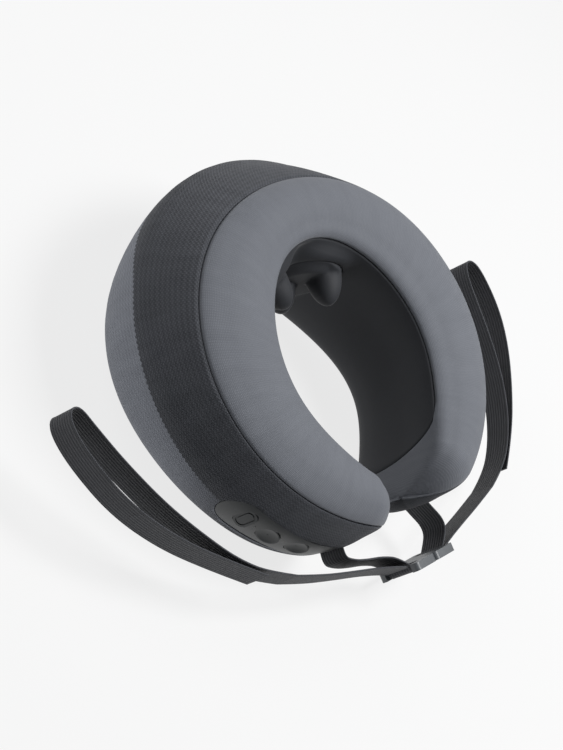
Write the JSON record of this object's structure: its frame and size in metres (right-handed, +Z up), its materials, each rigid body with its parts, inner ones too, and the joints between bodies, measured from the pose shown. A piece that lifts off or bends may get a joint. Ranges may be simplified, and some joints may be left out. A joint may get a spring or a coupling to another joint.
{
  "type": "shiatsu neck massager",
  "caption": "Padded horseshoe neck massager with turning heads behind a stretch liner, knit covers, a key panel on one arm and webbing hand loops joined by a front clip.",
  "frame": {"origin": "on the surface it stands on, below the middle of the horseshoe", "axes": "+X towards the wearer's left arm of the horseshoe, -Y towards its open front, +Z up"},
  "size_m": [0.4414, 0.2922, 0.1217],
  "materials": {
    "ring_knit": "fine warm-grey knit",
    "band_knit": "dark spacer knit",
    "panel_knit": "grey spacer knit",
    "liner_stretch": "smooth dark stretch fabric",
    "foam": "open-cell polyurethane foam",
    "housing_plastic": "moulded ABS",
    "steel": "turned or rolled steel",
    "bronze": "sintered bronze",
    "motor_can": "zinc-plated steel can",
    "gear_plastic": "moulded acetal",
    "node_silicone": "silicone over ABS",
    "panel_plastic": "satin moulded fascia",
    "button_plastic": "satin moulded cap",
    "circuit_board": "solder mask",
    "switch_plastic": "moulded",
    "light_pipe": "smoked light guide",
    "webbing": "ribbed polyester webbing",
    "clip_plastic": "moulded nylon",
    "cell_wrap": "heat-shrink sleeve",
    "heater_film": "polyimide film",
    "lead_sleeve": "PVC sleeve"
  },
  "bodies": {
    "body": {"anchor_pin_left": "steel", "anchor_pin_right": "steel", "arm_spring_left": "steel", "arm_spring_right": "steel", "battery_case": "housing_plastic", "battery_cells": "cell_wrap", "battery_lead": "lead_sleeve", "charging_port": "panel_plastic", "clip_socket": "clip_plastic", "control_panel": "panel_plastic", "drive_motor": "motor_can", "foam_arm_left": "foam", "foam_arm_right": "foam", "foam_back": "foam", "gearbox_lower": "housing_plastic", "gearbox_screws": "steel", "gearbox_upper": "housing_plastic", "hand_loop_left": "webbing", "hand_loop_right": "webbing", "heat_pad_left": "heater_film", "heat_pad_right": "heater_film", "long_strap_left": "webbing", "long_strap_right": "webbing", "lower_cover": "panel_knit", "neck_liner": "liner_stretch", "panel_lead": "lead_sleeve", "panel_lights": "light_pipe", "panel_switches": "switch_plastic", "panel_tray": "housing_plastic", "ring_cover": "ring_knit", "shaft_bushes": "bronze", "short_strap_left": "webbing", "short_strap_right": "webbing", "side_band": "band_knit", "strap_port_right": "panel_plastic", "switch_board": "circuit_board"},
    "head_left": {"worm_wheel_left": "gear_plastic", "head_shaft_left": "steel", "head_plate_left": "gear_plastic", "node_upper_left": "node_silicone", "node_lower_left": "node_silicone", "head_skin_left": "liner_stretch"},
    "head_right": {"worm_wheel_right": "gear_plastic", "head_shaft_right": "steel", "head_plate_right": "gear_plastic", "node_upper_right": "node_silicone", "node_lower_right": "node_silicone", "head_skin_right": "liner_stretch"},
    "worm_shaft": {"worm": "steel"},
    "power_key": {"power_button": "button_plastic"},
    "mode_key": {"mode_button": "button_plastic"},
    "heat_key": {"heat_button": "button_plastic"},
    "clip_half": {"clip_plug": "clip_plastic"}
  },
  "joints": [
    {"name": "head_left_spin", "type": "hinge", "parent": "body", "child": "head_left", "pos_m": [-0.03599, 0.10392, 0.06928], "axis": [0.342, -0.9281, -0.147], "continuous": true},
    {"name": "head_right_spin", "type": "hinge", "parent": "body", "child": "head_right", "pos_m": [0.03599, 0.10392, 0.06928], "axis": [-0.342, -0.9281, -0.147], "continuous": true},
    {"name": "worm_spin", "type": "hinge", "parent": "body", "child": "worm_shaft", "pos_m": [0, 0.11686, 0.07133], "axis": [0, -0.1564, 0.9877], "continuous": true},
    {"name": "power_press", "type": "slide", "parent": "body", "child": "power_key", "axis": [0.91, 0.4096, 0.0649], "range_m": [0, 0.0008], "stiffness_N_per_m": 900, "springref_m": -0.0006},
    {"name": "mode_press", "type": "slide", "parent": "body", "child": "mode_key", "axis": [0.829, 0.5523, 0.0875], "range_m": [0, 0.0008], "stiffness_N_per_m": 900, "springref_m": -0.0006},
    {"name": "heat_press", "type": "slide", "parent": "body", "child": "heat_key", "axis": [0.7009, 0.7045, 0.1116], "range_m": [0, 0.0008], "stiffness_N_per_m": 900, "springref_m": -0.0006},
    {"name": "clip_release", "type": "slide", "parent": "body", "child": "clip_half", "axis": [-1, 0, 0], "range_m": [0, 0.022], "deforming": ["short_strap_left", "long_strap_left"]}
  ],
  "couplings": [
    {"joint": "head_right_spin", "follows": "head_left_spin", "ratio": -1},
    {"joint": "worm_spin", "follows": "head_left_spin", "ratio": 48}
  ]
}
